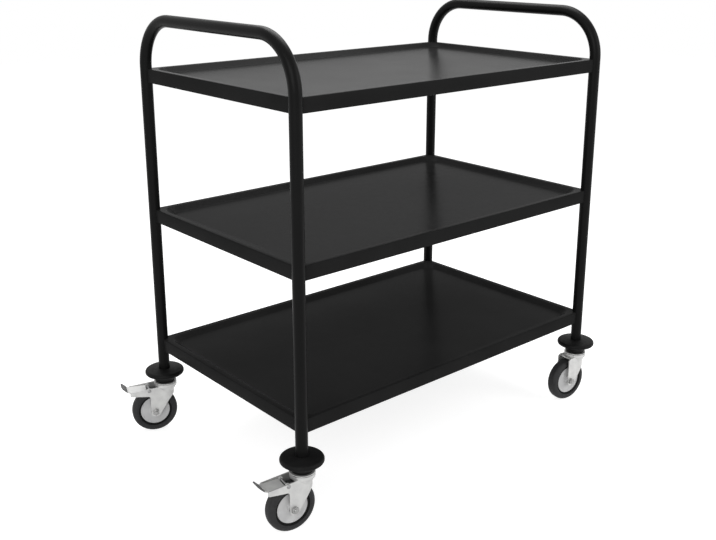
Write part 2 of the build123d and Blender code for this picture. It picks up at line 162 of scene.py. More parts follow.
def tint(finish, grain, dark, light):
    """Let the colour run between two tones with a grain."""
    nodes = finish.node_tree.nodes
    links = finish.node_tree.links
    ramp = nodes.new("ShaderNodeValToRGB")
    first, last = ramp.color_ramp.elements
    first.position = TINT_FROM
    first.color = (*dark, 1)
    last.position = TINT_TO
    last.color = (*light, 1)
    links.new(grain, ramp.inputs["Fac"])
    links.new(ramp.outputs["Color"], nodes["Principled BSDF"].inputs["Base Color"])


def roughen(finish, grain, low, high):
    """Let the roughness run between two values with a grain."""
    nodes = finish.node_tree.nodes
    links = finish.node_tree.links
    span = nodes.new("ShaderNodeMapRange")
    span.inputs["From Min"].default_value = ROUGHEN_FROM
    span.inputs["From Max"].default_value = ROUGHEN_TO
    span.inputs["To Min"].default_value = low
    span.inputs["To Max"].default_value = high
    links.new(grain, span.inputs["Value"])
    links.new(span.outputs["Result"], nodes["Principled BSDF"].inputs["Roughness"])


def emboss(finish, grain, depth):
    """Raise the surface by a depth with a grain. Returns the bump."""
    nodes = finish.node_tree.nodes
    links = finish.node_tree.links
    bump = nodes.new("ShaderNodeBump")
    bump.inputs["Distance"].default_value = depth
    links.new(grain, bump.inputs["Height"])
    links.new(bump.outputs["Normal"], nodes["Principled BSDF"].inputs["Normal"])
    return bump


def paint(piece, finish):
    """Give a piece or a CAD node one finish all over."""
    piece.data.materials.clear()
    piece.data.materials.append(finish)


def satin_black_coat(name, tone, gloss, rough):
    """Powder coat: near black, with a slow cloudiness and the orange peel of the baked powder."""
    finish = new_finish(name, (tone, tone, tone), rough, specular=gloss)
    clouds = add_grain(finish, scale=8)
    tint(finish, clouds, dark=[0.92 * tone] * 3, light=[1.1 * tone] * 3)
    roughen(finish, clouds, low=0.94 * rough, high=1.06 * rough)
    emboss(finish, add_grain(finish, scale=1100, detail=1), depth=0.02 * MM)
    return finish


frame_coat = satin_black_coat("frame_coat", tone=0.0055, gloss=0.06, rough=0.36)
for end in ("left", "right"):
    node = f"{end}_end_frame"
    low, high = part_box(node)
    x = (low.x + high.x) / 2
    foot_y = low.y + TUBE_R
    far_y = high.y - TUBE_R
    bend_z = high.z - TUBE_R - HANDLE_BEND_R
    near_bend = (x, foot_y + HANDLE_BEND_R, bend_z)
    far_bend = (x, far_y - HANDLE_BEND_R, bend_z)
    deselect()
    bpy.ops.mesh.primitive_circle_add(vertices=TUBE_SIDES, radius=TUBE_R, location=(x, foot_y, low.z))
    tube = open_shape(f"{end}_tube")
    draw(0, 0, bend_z - low.z)
    bpy.ops.mesh.spin(steps=BEND_STEPS, angle=QUARTER_TURN, center=near_bend, axis=(1, 0, 0))
    draw(0, far_y - foot_y - 2 * HANDLE_BEND_R, 0)
    bpy.ops.mesh.spin(steps=BEND_STEPS, angle=QUARTER_TURN, center=far_bend, axis=(1, 0, 0))
    draw(0, 0, low.z - bend_z)
    close_shape()
    apply_modifier(tube, "SOLIDIFY", thickness=TUBE_WALL, offset=-1)
    smooth(tube)
    paint(tube, frame_coat)
    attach(tube, "cart_frame")
    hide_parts(node)


# Trays: each is one sheet of 1 mm steel, with a floor pressed into it and its edges folded down
# and back in. The corners are cut out round the tubes, and it is powder coated black like them.
TRAYS = ["bottom_tray", "middle_tray", "top_tray"]
LEGS = ["front_left", "rear_left", "front_right", "rear_right"]
RIM_LAND = 12 * MM
RIM_FRAME = 4 * MM
SHEET_T = 1 * MM
WALL_RUN = 14 * MM
RECESS_DEPTH = 10.5 * MM
RECESS_CORNER_R = 35 * MM
CORNER_STEPS = 12
RETURN_FLANGE = 13 * MM
SKIRT_EDGE_R = 2 * MM
RIM_SETBACK = 1.0 * MM
FLOOR_SETBACK = 1.35 * MM
FOLD_SETBACK = 1.5 * MM
PRESSED_STEPS = 4
FOLD_STEPS = 3
FOLD_SHADING = 25
NOTCH_CLEARANCE = 0.15 * MM
NOTCH_R = TUBE_R + NOTCH_CLEARANCE
NEAR = 0.1 * MM
low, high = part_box("top_tray")
tray_x, tray_y, skirt_h = high - low
notch_cut_h = 4 * skirt_h


def margin(place):
    """How far a place lies in from the tray's outline."""
    return min(tray_x / 2 - abs(place.x), tray_y / 2 - abs(place.y))


def leg_axis(leg):
    """Where a leg's axis meets the floor."""
    low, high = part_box(f"{leg}_caster_socket")
    return Vector(((low.x + high.x) / 2, (low.y + high.y) / 2, 0))


def round_edges(test, setback, segments):
    """Bevel the edges between the open shape's vertices that pass a test."""
    pick(test)
    bpy.ops.mesh.bevel(offset=setback, affect="EDGES", segments=segments, profile=0.5)


def cut(shape, tool, operation="DIFFERENCE"):
    """Combine a shape with a tool by a boolean and throw the tool away."""
    apply_modifier(shape, "BOOLEAN", object=tool, operation=operation, solver="EXACT")
    bpy.data.objects.remove(tool)


def join(*shapes):
    """Make several shapes one object, under the first one's name."""
    make_active(shapes[0])
    for shape in shapes:
        shape.select_set(True)
    bpy.ops.object.join()
    return shapes[0]


def place_copy(shape, name, place, turn=0.0):
    """Copy a shape with its own mesh to a place, turned about Z, with the place in the mesh."""
    make_active(shape)
    bpy.ops.object.duplicate()
    copy = bpy.context.object
    rename(copy, name)
    copy.location = place
    copy.rotation_euler.z = turn
    settle()
    return copy


deselect()
bpy.ops.mesh.primitive_plane_add(size=1, location=(0, 0, skirt_h))
bpy.ops.transform.resize(value=(tray_x - 2 * RIM_LAND, tray_y - 2 * RIM_LAND, 1))
pan = open_shape("tray_pan")
bpy.ops.mesh.bevel(offset=RECESS_CORNER_R, affect="VERTICES", segments=CORNER_STEPS, profile=0.5)
bpy.ops.mesh.select_all(action="SELECT")
bpy.ops.mesh.inset(thickness=WALL_RUN, depth=-RECESS_DEPTH)
bpy.ops.object.mode_set(mode="OBJECT")

deselect()
bpy.ops.mesh.primitive_plane_add(size=1, location=(0, 0, skirt_h))
bpy.ops.transform.resize(value=(tray_x, tray_y, 1))
folded = open_shape("folded_tray")
bpy.ops.mesh.inset(thickness=RIM_FRAME, depth=0)
bpy.ops.mesh.delete(type="ONLY_FACE")
pick(lambda place: margin(place) < NEAR)
draw(0, 0, -skirt_h)
draw(0, 0, 0)
flange_shrink = (1 - 2 * RETURN_FLANGE / tray_x, 1 - 2 * RETURN_FLANGE / tray_y, 1)
bpy.ops.transform.resize(value=flange_shrink, center_override=(0, 0, 0))
bpy.ops.object.mode_set(mode="OBJECT")

join(folded, pan)
bpy.ops.object.mode_set(mode="EDIT")
pick(lambda place: place.z > skirt_h - NEAR and margin(place) > NEAR)
bpy.ops.mesh.bridge_edge_loops()
round_edges(
    lambda place: place.z > skirt_h - NEAR and margin(place) < NEAR, SKIRT_EDGE_R, PRESSED_STEPS
)
round_edges(
    lambda place: place.z > skirt_h - NEAR and margin(place) > RIM_LAND - NEAR, RIM_SETBACK, PRESSED_STEPS
)
round_edges(lambda place: abs(place.z - skirt_h + RECESS_DEPTH) < NEAR, FLOOR_SETBACK, PRESSED_STEPS)
round_edges(lambda place: place.z < NEAR and margin(place) < NEAR, FOLD_SETBACK, FOLD_STEPS)
close_shape()
apply_modifier(folded, "SOLIDIFY", thickness=SHEET_T, offset=-1, use_even_offset=True)
for leg in LEGS:
    deselect()
    bpy.ops.mesh.primitive_cylinder_add(
        vertices=TUBE_SIDES, radius=NOTCH_R, depth=notch_cut_h, location=leg_axis(leg)
    )
    cut(folded, bpy.context.object)
smooth(folded, FOLD_SHADING)

tray_coat = satin_black_coat("tray_coat", tone=0.014, gloss=0.008, rough=0.25)
for node in TRAYS:
    tray = place_copy(folded, f"{node}_sheet", (0, 0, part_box(node)[0].z))
    paint(tray, tray_coat)
    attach(tray, "cart_frame")
    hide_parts(node)
bpy.data.objects.remove(folded)


# Tray gussets: brackets of 2 mm steel plate, spot welded across each tray corner inside the skirt,
# which take the bolts. They are coated with the trays, and their plain bent shape is the CAD's own.
paint(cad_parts["tray_gussets"], tray_coat)


# Tray bolts: zinc-plated bolts with round heads and hexagon sockets, which go from inside each
# corner through the gusset into the tube. Only their heads show, and only from below.
TRAY_BOLT_R = 3 * MM
TRAY_BOLT_LENGTH = 13 * MM
TRAY_BOLT_TIP = 0.8 * MM
TRAY_BOLT_HEAD_R = 5.5 * MM
TRAY_BOLT_HEAD_H = 3.3 * MM
TRAY_BOLT_RISE = 13 * MM
TRAY_BOLT_REACH = 2.05 * MM
TRAY_BOLT_SEAT = TUBE_R + TRAY_BOLT_REACH
HEAD_ROUND = 2.4 * MM
SOCKET_R = 2.3 * MM
SOCKET_DEEP = 2 * MM
HEX_SIDES = 6
SMALL_SIDES = 48
TURNED_SIDES = 96
ROUND_STEPS = 6
FULL_TURN = math.radians(360)
EASED_EDGE_R = 0.5 * MM
EASED_EDGE_SAMPLES = 8


def turned(name, profile, rounds=(), sides=TURNED_SIDES):
    """Shape turned about Z: one point is drawn along a section of (radius, height) and spun round.

    Each of the rounds names a corner of the section by its number, and a setback to round it by.
    """
    section = [Vector((radius, 0, height)) for radius, height in profile]
    deselect()
    bpy.ops.mesh.primitive_plane_add(size=MM, location=section[0])
    shape = open_shape(name)
    bpy.ops.mesh.merge(type="CENTER")
    for start, end in zip(section, section[1:]):
        bpy.ops.mesh.extrude_vertices_move(TRANSFORM_OT_translate={"value": end - start})
    bpy.ops.mesh.select_all(action="SELECT")
    bpy.ops.mesh.remove_doubles(threshold=MERGE)
    for corner, setback in rounds:
        pick(lambda place: (place - section[corner]).length < MERGE)
        bpy.ops.mesh.bevel(offset=setback, affect="VERTICES", segments=ROUND_STEPS, profile=0.5)
    bpy.ops.mesh.select_all(action="SELECT")
    bpy.ops.mesh.spin(steps=sides, angle=FULL_TURN, center=(0, 0, 0), axis=(0, 0, 1))
    close_shape()
    smooth(shape)
    return shape


def ease_edges(finish, bump, radius):
    """Let sharp edges catch the light as if they were rounded off."""
    bevel = finish.node_tree.nodes.new("ShaderNodeBevel")
    bevel.samples = EASED_EDGE_SAMPLES
    bevel.inputs["Radius"].default_value = radius
    finish.node_tree.links.new(bevel.outputs["Normal"], bump.inputs["Normal"])


def zinc_plate(name, dark, light, rough_low, rough_high, metallic=0.7):
    """Zinc plating on pressed or turned steel: pale grey metal with fine streaks and a light cloud."""
    finish = new_finish(name, light, rough_low, metallic=metallic)
    tint(finish, add_grain(finish, scale=60, detail=4), dark, light)
    streaks = add_grain(finish, scale=260, detail=2, stretch=(1, 1, 0.12))
    roughen(finish, streaks, rough_low, rough_high)
    ease_edges(finish, emboss(finish, streaks, depth=0.004 * MM), EASED_EDGE_R)
    return finish


# Fastener zinc: zinc plating whose tone is set darker than the fork's as painted shade on the bolt heads and
# nuts.
fastener_zinc = zinc_plate(
    "fastener_zinc", dark=(0.27, 0.27, 0.268), light=(0.35, 0.35, 0.345), rough_low=0.16, rough_high=0.26
)
button_bolt = turned(
    "button_bolt",
    [
        (0, -TRAY_BOLT_LENGTH),
        (TRAY_BOLT_R - TRAY_BOLT_TIP, -TRAY_BOLT_LENGTH),
        (TRAY_BOLT_R, TRAY_BOLT_TIP - TRAY_BOLT_LENGTH),
        (TRAY_BOLT_R, 0),
        (TRAY_BOLT_HEAD_R, 0),
        (TRAY_BOLT_HEAD_R, TRAY_BOLT_HEAD_H),
        (0, TRAY_BOLT_HEAD_H),
    ],
    rounds=[(5, HEAD_ROUND)],
    sides=SMALL_SIDES,
)
deselect()
bpy.ops.mesh.primitive_cylinder_add(
    vertices=HEX_SIDES, radius=SOCKET_R, depth=2 * SOCKET_DEEP, location=(0, 0, TRAY_BOLT_HEAD_H)
)
cut(button_bolt, bpy.context.object)
smooth(button_bolt)
button_bolt.rotation_euler.y = QUARTER_TURN
settle()
corner_bolts = []
for node in TRAYS:
    bolt_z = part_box(node)[0].z + TRAY_BOLT_RISE
    for leg in LEGS:
        axis = leg_axis(leg)
        inward = Vector((-math.copysign(1, axis.x), -math.copysign(1, axis.y), 0)).normalized()
        place = axis + TRAY_BOLT_SEAT * inward + Vector((0, 0, bolt_z))
        turn = math.atan2(inward.y, inward.x)
        corner_bolts.append(place_copy(button_bolt, f"{node}_{leg}_bolt", place, turn))
bolt_set = join(*corner_bolts)
rename(bolt_set, "corner_bolts")
paint(bolt_set, fastener_zinc)
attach(bolt_set, "cart_frame")
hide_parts("tray_bolts")
bpy.data.objects.remove(button_bolt)


# Tube inserts: threaded steel inserts set in the tubes' walls, which the bolts screw into. They are
# zinc plated, lie inside the tubes and keep the CAD shape.
paint(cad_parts["tube_inserts"], fastener_zinc)


# Caster sockets: dark grey nylon plugs driven into the lower ends of the tubes, bored for the stems.
# The tubes hide them, so they keep the CAD shape.
socket_plastic = new_finish("socket_plastic", (0.05, 0.05, 0.052), roughness=0.5)
tint(
    socket_plastic,
    add_grain(socket_plastic, scale=90),
    dark=(0.045, 0.045, 0.047),
    light=(0.056, 0.056, 0.058),
)
emboss(socket_plastic, add_grain(socket_plastic, scale=2500), depth=0.01 * MM)
for leg in LEGS:
    paint(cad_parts[f"{leg}_caster_socket"], socket_plastic)


# Bumpers: black saucers of moulded rubber that are pushed onto the tubes' lower ends and sit on
# the casters' races. The rim is the widest part of the cart's corners and saves walls from knocks.
BUMPER_H = 31 * MM
BUMPER_STEM_R = 6.2 * MM
BUMPER_TUBE_R = 12.2 * MM
BUMPER_TUBE_SEAT = 12 * MM
BUMPER_HUB_R = 20.5 * MM
BUMPER_NECK_R = 28 * MM
BUMPER_RIM_R = 42.5 * MM
BUMPER_RIM_LOW = 18 * MM
BUMPER_RIM_HIGH = 28 * MM
BUMPER_TOP_R = 15.5 * MM
BUMPER_SEAM_Z = 23 * MM
BUMPER_SEAM_HALF = 0.5 * MM
BUMPER_SEAM_DEEP = 0.4 * MM
BUMPER_HUB_ROUND = 0.8 * MM
BUMPER_NECK_ROUND = 5 * MM
BUMPER_RIM_ROUND = 4.4 * MM
BUMPER_TOP_ROUND = 1.2 * MM
bumper_rubber = new_finish("bumper_rubber", (0.005, 0.005, 0.005), roughness=0.6, specular=0.11)
tint(
    bumper_rubber,
    add_grain(bumper_rubber, scale=70),
    dark=(0.004, 0.004, 0.0041),
    light=(0.006, 0.006, 0.006),
)
roughen(bumper_rubber, add_grain(bumper_rubber, scale=150), low=0.52, high=0.66)
emboss(bumper_rubber, add_grain(bumper_rubber, scale=1800), depth=0.02 * MM)
saucer = turned(
    "bumper_saucer",
    [
        (BUMPER_STEM_R, 0),
        (BUMPER_HUB_R, 0),
        (BUMPER_NECK_R, BUMPER_RIM_LOW),
        (BUMPER_RIM_R, BUMPER_RIM_LOW),
        (BUMPER_RIM_R, BUMPER_SEAM_Z - BUMPER_SEAM_HALF),
        (BUMPER_RIM_R - BUMPER_SEAM_DEEP, BUMPER_SEAM_Z),
        (BUMPER_RIM_R, BUMPER_SEAM_Z + BUMPER_SEAM_HALF),
        (BUMPER_RIM_R, BUMPER_RIM_HIGH),
        (BUMPER_TOP_R, BUMPER_H),
        (BUMPER_TUBE_R, BUMPER_H),
        (BUMPER_TUBE_R, BUMPER_TUBE_SEAT),
        (BUMPER_STEM_R, BUMPER_TUBE_SEAT),
        (BUMPER_STEM_R, 0),
    ],
    rounds=[
        (1, BUMPER_HUB_ROUND),
        (2, BUMPER_NECK_ROUND),
        (3, BUMPER_RIM_ROUND),
        (7, BUMPER_RIM_ROUND),
        (8, BUMPER_TOP_ROUND),
    ],
)
for leg in LEGS:
    node = f"{leg}_bumper"
    bumper = place_copy(saucer, f"{leg}_saucer", leg_axis(leg) + Vector((0, 0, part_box(node)[0].z)))
    paint(bumper, bumper_rubber)
    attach(bumper, "cart_frame")
    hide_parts(node)
bpy.data.objects.remove(saucer)


# Caster stems and swivel balls: a turned steel stem with a flanged upper race, zinc plated, and a
# ring of hardened balls under it. The flange shows as a thin bright ring between bumper and fork.
fork_zinc = zinc_plate(
    "fork_zinc", dark=(0.5, 0.5, 0.495), light=(0.58, 0.58, 0.57), rough_low=0.38, rough_high=0.48
)
ball_steel = zinc_plate(
    "ball_steel", dark=(0.5, 0.5, 0.5), light=(0.58, 0.58, 0.58), rough_low=0.1, rough_high=0.16
)
for leg in LEGS:
    paint(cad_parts[f"{leg}_caster_stem"], fork_zinc)
    paint(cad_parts[f"{leg}_swivel_balls"], ball_steel)


# Forks: pressed from 2.5 mm sheet steel and zinc plated, with a round cup over two legs that close
# in front of the wheel. On the left end two arms reach back and carry the brake.
for leg in LEGS:
    paint(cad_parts[f"{leg}_fork"], fork_zinc)


# Axle sleeves: short zinc-plated steel tubes that the axle bolts clamp between the fork's legs.
# The wheel's hub runs on them and hides them.
for leg in LEGS:
    paint(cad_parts[f"{leg}_axle_sleeve"], fastener_zinc)


# Wheel cores: hub, web and rim moulded in one piece of black plastic. Only the rounded bead of the
# rim shows, as a black ring between the cover and the tyre; its near black also paints the gap's shade.
WHEEL_SIDES = 128
CORE_BORE_R = 6.05 * MM
CORE_HUB_R = 9.5 * MM
CORE_HUB_HALF = 16.1 * MM
CORE_WEB_HALF = 4 * MM
COVER_STEP_R = 29.2 * MM
COVER_SEAT_R = 32.2 * MM
COVER_SEAT = 7.9 * MM
CORE_RIM_R = 36.5 * MM
CORE_RIM_HALF = 10.5 * MM
CORE_HUB_ROUND = 0.6 * MM
CORE_SEAT_ROUND = 1.0 * MM
CORE_BEAD_ROUND = 1.4 * MM


def caster_turn(leg):
    """Angle from +X in which a leg's caster trails, from where its wheel stands."""
    low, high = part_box(f"{leg}_tyre")
    trail = (low + high) / 2 - leg_axis(leg)
    return math.atan2(trail.y, trail.x)


low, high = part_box("front_left_tyre")
axle_z = (low.z + high.z) / 2
wheel_trail = ((low + high) / 2 - leg_axis("front_left") - Vector((0, 0, axle_z))).length


def lay_across(shape, back, rise, degrees=-90):
    """Turn a shape from Z onto a line across its caster, so far behind the swivel and so high."""
    make_active(shape)
    shape.rotation_euler.x = math.radians(degrees)
    shape.location = (back, 0, rise)
    settle()
    return shape


def mirrored(half, rounds):
    """Full section and all its rounds, from those on one side of the wheel's middle plane."""
    other = [(radius, -across) for radius, across in reversed(half)]
    last = len(half) + len(other) - 1
    other_rounds = [(last - corner, setback) for corner, setback in reversed(rounds)]
    return half + other + half[:1], rounds + other_rounds


# Near black, darker than the tyre: the core's black plastic, darkened further as painted shade in the gap
# between cover and tyre.
wheel_plastic = new_finish("wheel_plastic", (0.004, 0.004, 0.004), roughness=0.5, specular=0.12)
tint(
    wheel_plastic, add_grain(wheel_plastic, scale=80), dark=(0.003, 0.003, 0.003), light=(0.005, 0.005, 0.005)
)
roughen(wheel_plastic, add_grain(wheel_plastic, scale=200), low=0.42, high=0.56)
emboss(wheel_plastic, add_grain(wheel_plastic, scale=2200), depth=0.008 * MM)
core_section, core_rounds = mirrored(
    [
        (CORE_BORE_R, CORE_HUB_HALF),
        (CORE_HUB_R, CORE_HUB_HALF),
        (CORE_HUB_R, CORE_WEB_HALF),
        (COVER_STEP_R, CORE_WEB_HALF),
        (COVER_STEP_R, COVER_SEAT),
        (COVER_SEAT_R, COVER_SEAT),
        (COVER_SEAT_R, CORE_RIM_HALF),
        (CORE_RIM_R, CORE_RIM_HALF),
    ],
    [(1, CORE_HUB_ROUND), (6, CORE_SEAT_ROUND), (7, CORE_BEAD_ROUND)],
)
core = turned("core_pattern", core_section, core_rounds, WHEEL_SIDES)
lay_across(core, wheel_trail, axle_z)
for leg in LEGS:
    ring = place_copy(core, f"{leg}_core", leg_axis(leg), caster_turn(leg))
    paint(ring, wheel_plastic)
    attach(ring, f"{leg}_wheel")
    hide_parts(f"{leg}_wheel_core")
bpy.data.objects.remove(core)


# Tyres: solid rubber bands with round shoulders, dark grey so that they leave no marks. They are
# moulded onto the cores, with a fine line where the mould's halves meet and one round each side.
TYRE_R = 50 * MM
TYRE_HALF = 12.5 * MM
TYRE_BEAD_CHAMFER = 0.6 * MM
TYRE_SHOULDER = 9 * MM
SIDE_LINE_R = 39.8 * MM
SIDE_LINE_HALF = 0.4 * MM
SIDE_LINE_DEEP = 0.4 * MM
TREAD_LINE_HALF = 0.5 * MM
TREAD_LINE_FLOOR = 0.2 * MM
TREAD_LINE_DEEP = 0.25 * MM
tyre_rubber = new_finish("tyre_rubber", (0.020, 0.020, 0.021), roughness=0.62, specular=0.25)
tint(tyre_rubber, add_grain(tyre_rubber, scale=60), dark=(0.017, 0.017, 0.018), light=(0.023, 0.023, 0.024))
roughen(tyre_rubber, add_grain(tyre_rubber, scale=180), low=0.56, high=0.70)
emboss(tyre_rubber, add_grain(tyre_rubber, scale=1500), depth=0.025 * MM)
tyre_section, tyre_rounds = mirrored(
    [
        (CORE_RIM_R, TYRE_HALF - TYRE_BEAD_CHAMFER),
        (CORE_RIM_R + TYRE_BEAD_CHAMFER, TYRE_HALF),
        (SIDE_LINE_R - SIDE_LINE_HALF, TYRE_HALF),
        (SIDE_LINE_R, TYRE_HALF - SIDE_LINE_DEEP),
        (SIDE_LINE_R + SIDE_LINE_HALF, TYRE_HALF),
        (TYRE_R, TYRE_HALF),
        (TYRE_R, TREAD_LINE_HALF),
        (TYRE_R - TREAD_LINE_DEEP, TREAD_LINE_FLOOR),
    ],
    [(5, TYRE_SHOULDER)],
)
band = turned("tyre_pattern", tyre_section, tyre_rounds, WHEEL_SIDES)
lay_across(band, wheel_trail, axle_z)
for leg in LEGS:
    tyre = place_copy(band, f"{leg}_tyre_band", leg_axis(leg), caster_turn(leg))
    paint(tyre, tyre_rubber)
    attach(tyre, f"{leg}_wheel")
    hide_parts(f"{leg}_tyre")
bpy.data.objects.remove(band)


# Wheel covers: two light grey plastic discs clipped into the sides of each core, round the hub.
# Each is dished a little between a raised edge and a collar that stands round the hub.
COVER_BORE_R = 9.7 * MM
COVER_R = 32.0 * MM
COVER_EDGE = 9.5 * MM
COVER_EDGE_INNER_R = 29.6 * MM
COVER_DISH = 9.0 * MM
COVER_DISH_OUTER_R = 28.9 * MM
COVER_DISH_INNER_R = 14.2 * MM
COVER_STEP_TOP = 9.6 * MM
COVER_STEP_OUTER_R = 13.4 * MM
COVER_COLLAR_R = 10.9 * MM
COVER_COLLAR_END = 15.4 * MM
COVER_EDGE_ROUND = 0.5 * MM
COVER_STEP_ROUND = 0.4 * MM
cover_plastic = new_finish("cover_plastic", (0.52, 0.52, 0.52), roughness=0.5, specular=0.35)
tint(cover_plastic, add_grain(cover_plastic, scale=50), dark=(0.49, 0.49, 0.492), light=(0.55, 0.55, 0.55))
roughen(cover_plastic, add_grain(cover_plastic, scale=160), low=0.44, high=0.56)
emboss(cover_plastic, add_grain(cover_plastic, scale=1600), depth=0.012 * MM)
disc = turned(
    "cover_disc",
    [
        (COVER_BORE_R, COVER_SEAT),
        (COVER_R, COVER_SEAT),
        (COVER_R, COVER_EDGE),
        (COVER_EDGE_INNER_R, COVER_EDGE),
        (COVER_DISH_OUTER_R, COVER_DISH),
        (COVER_DISH_INNER_R, COVER_DISH),
        (COVER_STEP_OUTER_R, COVER_STEP_TOP),
        (COVER_COLLAR_R, COVER_STEP_TOP),
        (COVER_COLLAR_R, COVER_COLLAR_END),
        (COVER_BORE_R, COVER_COLLAR_END),
        (COVER_BORE_R, COVER_SEAT),
    ],
    rounds=[(2, COVER_EDGE_ROUND), (6, COVER_STEP_ROUND), (8, COVER_STEP_ROUND)],
    sides=WHEEL_SIDES,
)
far_disc = place_copy(disc, "cover_far_disc", (0, 0, 0))
lay_across(far_disc, wheel_trail, axle_z, 90)
lay_across(disc, wheel_trail, axle_z)
join(disc, far_disc)
for leg in LEGS:
    covers = place_copy(disc, f"{leg}_cover_discs", leg_axis(leg), caster_turn(leg))
    paint(covers, cover_plastic)
    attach(covers, f"{leg}_wheel")
    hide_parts(f"{leg}_wheel_covers")
bpy.data.objects.remove(disc)


# Axle bolts and nuts: zinc-plated hexagon bolts of 8 mm through fork and sleeve, with the nut on the
# cart's front side at rest. The forged corners of head and nut are chamfered, and the bolt ends
# just past its nut.
AXLE_R = 4 * MM
HEX_ACROSS = 13 * MM
FORK_OUTER = 19 * MM
HEAD_H = 5.3 * MM
NUT_H = 5 * MM
BOLT_END = 1.5 * MM
BOLT_TIP = 0.8 * MM
BORE_CLEARANCE = 0.05 * MM
CHAMFER_SLOPE = math.radians(30)
CHAMFER_FACE_SHARE = 0.47
CHAMFER_TOOL_SPARE = 1.05
CHAMFER_DROP_SPARE = 1.25


def hexagon(name, height, bore):
    """Hexagon about Z on its seat, chamfered round its upper corners and bored through if asked."""
    corner_r = HEX_ACROSS / math.sqrt(3)
    face_r = CHAMFER_FACE_SHARE * HEX_ACROSS
    drop = (corner_r - face_r) * math.tan(CHAMFER_SLOPE)
    tool_r = CHAMFER_TOOL_SPARE * corner_r
    deselect()
    bpy.ops.mesh.primitive_cylinder_add(
        vertices=HEX_SIDES, radius=corner_r, depth=height, location=(0, 0, height / 2)
    )
    block = open_shape(name)
    close_shape()
    outline = [
        (bore, 0),
        (tool_r, 0),
        (tool_r, height - CHAMFER_DROP_SPARE * drop),
        (face_r, height),
        (bore, height),
    ]
    if bore:
        outline += outline[:1]
    cut(block, turned("chamfer_tool", outline), "INTERSECT")
    smooth(block)
    return block


def raise_by(shape, height):
    """Lift a shape along Z, with the place put into its mesh."""
    make_active(shape)
    shape.location = (0, 0, height)
    settle()
    return shape


tip = -FORK_OUTER - NUT_H - BOLT_END
shank = turned(
    "bolt_shank",
    [(0, tip), (AXLE_R - BOLT_TIP, tip), (AXLE_R, tip + BOLT_TIP), (AXLE_R, FORK_OUTER), (0, FORK_OUTER)],
)
head = raise_by(hexagon("bolt_head", HEAD_H, 0), FORK_OUTER)
bolt = join(shank, head)
lay_across(bolt, wheel_trail, axle_z, 90)
nut = raise_by(hexagon("nut_pattern", NUT_H, AXLE_R + BORE_CLEARANCE), FORK_OUTER)
lay_across(nut, wheel_trail, axle_z)
for leg in LEGS:
    for pattern, kind in ((bolt, "bolt"), (nut, "nut")):
        piece = place_copy(pattern, f"{leg}_hex_{kind}", leg_axis(leg), caster_turn(leg))
        paint(piece, fastener_zinc)
        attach(piece, f"{leg}_caster")
        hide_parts(f"{leg}_axle_{kind}")
bpy.data.objects.remove(bolt)
bpy.data.objects.remove(nut)


# Brake pins: bare steel rivets with domed heads, through both arms of the fork. The pedals turn
# on them.
BRAKED_LEGS = ["front_left", "rear_left"]
PIVOT_BACK = 38.5 * MM
PIVOT_Z = 102 * MM
PIN_R = 2.25 * MM
PIN_HEAD_R = 4 * MM
PIN_HEAD_H = 1.5 * MM
PIN_HEAD_ROUND = 1.3 * MM
pin_steel = new_finish("pin_steel", (0.3, 0.3, 0.3), roughness=0.35, metallic=0.8)
tint(pin_steel, add_grain(pin_steel, scale=300), dark=(0.26, 0.26, 0.262), light=(0.34, 0.34, 0.34))
roughen(pin_steel, add_grain(pin_steel, scale=500), low=0.3, high=0.4)
head_top = FORK_OUTER + PIN_HEAD_H
rivet = turned(
    "rivet_pattern",
    [
        (0, -head_top),
        (PIN_HEAD_R, -head_top),
        (PIN_HEAD_R, -FORK_OUTER),
        (PIN_R, -FORK_OUTER),
        (PIN_R, FORK_OUTER),
        (PIN_HEAD_R, FORK_OUTER),
        (PIN_HEAD_R, head_top),
        (0, head_top),
    ],
    rounds=[(1, PIN_HEAD_ROUND), (6, PIN_HEAD_ROUND)],
    sides=SMALL_SIDES,
)
lay_across(rivet, PIVOT_BACK, PIVOT_Z)
for leg in BRAKED_LEGS:
    pin = place_copy(rivet, f"{leg}_rivet", leg_axis(leg), caster_turn(leg))
    paint(pin, pin_steel)
    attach(pin, f"{leg}_caster")
    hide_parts(f"{leg}_brake_pin")
bpy.data.objects.remove(rivet)


# Brake pedals: pressed from 2 mm zinc-plated steel, with a foot plate between the fork's arms, a tip
# that turns up with round corners, and an ear on each side. The tip is painted dark grey as painted shade.
PEDAL_T = 2 * MM
PEDAL_HALF_W = 15 * MM
PEDAL_START = 44 * MM
PEDAL_KNEE = 83 * MM
PEDAL_TIP = 97 * MM
PEDAL_TIP_RISE = 14 * MM
KNEE_SETBACK = 3.7 * MM
PAINTED_SHADE_START = PEDAL_KNEE + KNEE_SETBACK / 3
TIP_CORNER_R = 7 * MM
EAR_R = 5 * MM
EAR_LENGTH = 14 * MM
PLATE_RISE = 0.5 * MM
PLATE_Z = PIVOT_Z + PLATE_RISE
PIN_CUT_LENGTH = 4 * PEDAL_HALF_W
EDGE_R = 0.4 * MM
EDGE_STEPS = 2
ACROSS = (math.pi / 2, 0, 0)
deselect()
plate_middle = (PEDAL_START + PEDAL_HALF_W, 0, PLATE_Z)
bpy.ops.mesh.primitive_plane_add(size=2 * PEDAL_HALF_W, location=plate_middle)
plate = open_shape("pedal_pattern")
pick(lambda place: place.x > PEDAL_START + PEDAL_HALF_W)
bpy.ops.transform.translate(value=(PEDAL_KNEE - PEDAL_START - 2 * PEDAL_HALF_W, 0, 0))
draw(PEDAL_TIP - PEDAL_KNEE, 0, PEDAL_TIP_RISE)
bpy.ops.mesh.bevel(offset=TIP_CORNER_R, affect="VERTICES", segments=ROUND_STEPS, profile=0.5)
round_edges(lambda place: abs(place.x - PEDAL_KNEE) < NEAR, KNEE_SETBACK, ROUND_STEPS)
close_shape()
apply_modifier(plate, "SOLIDIFY", thickness=PEDAL_T, offset=0, use_even_offset=True)
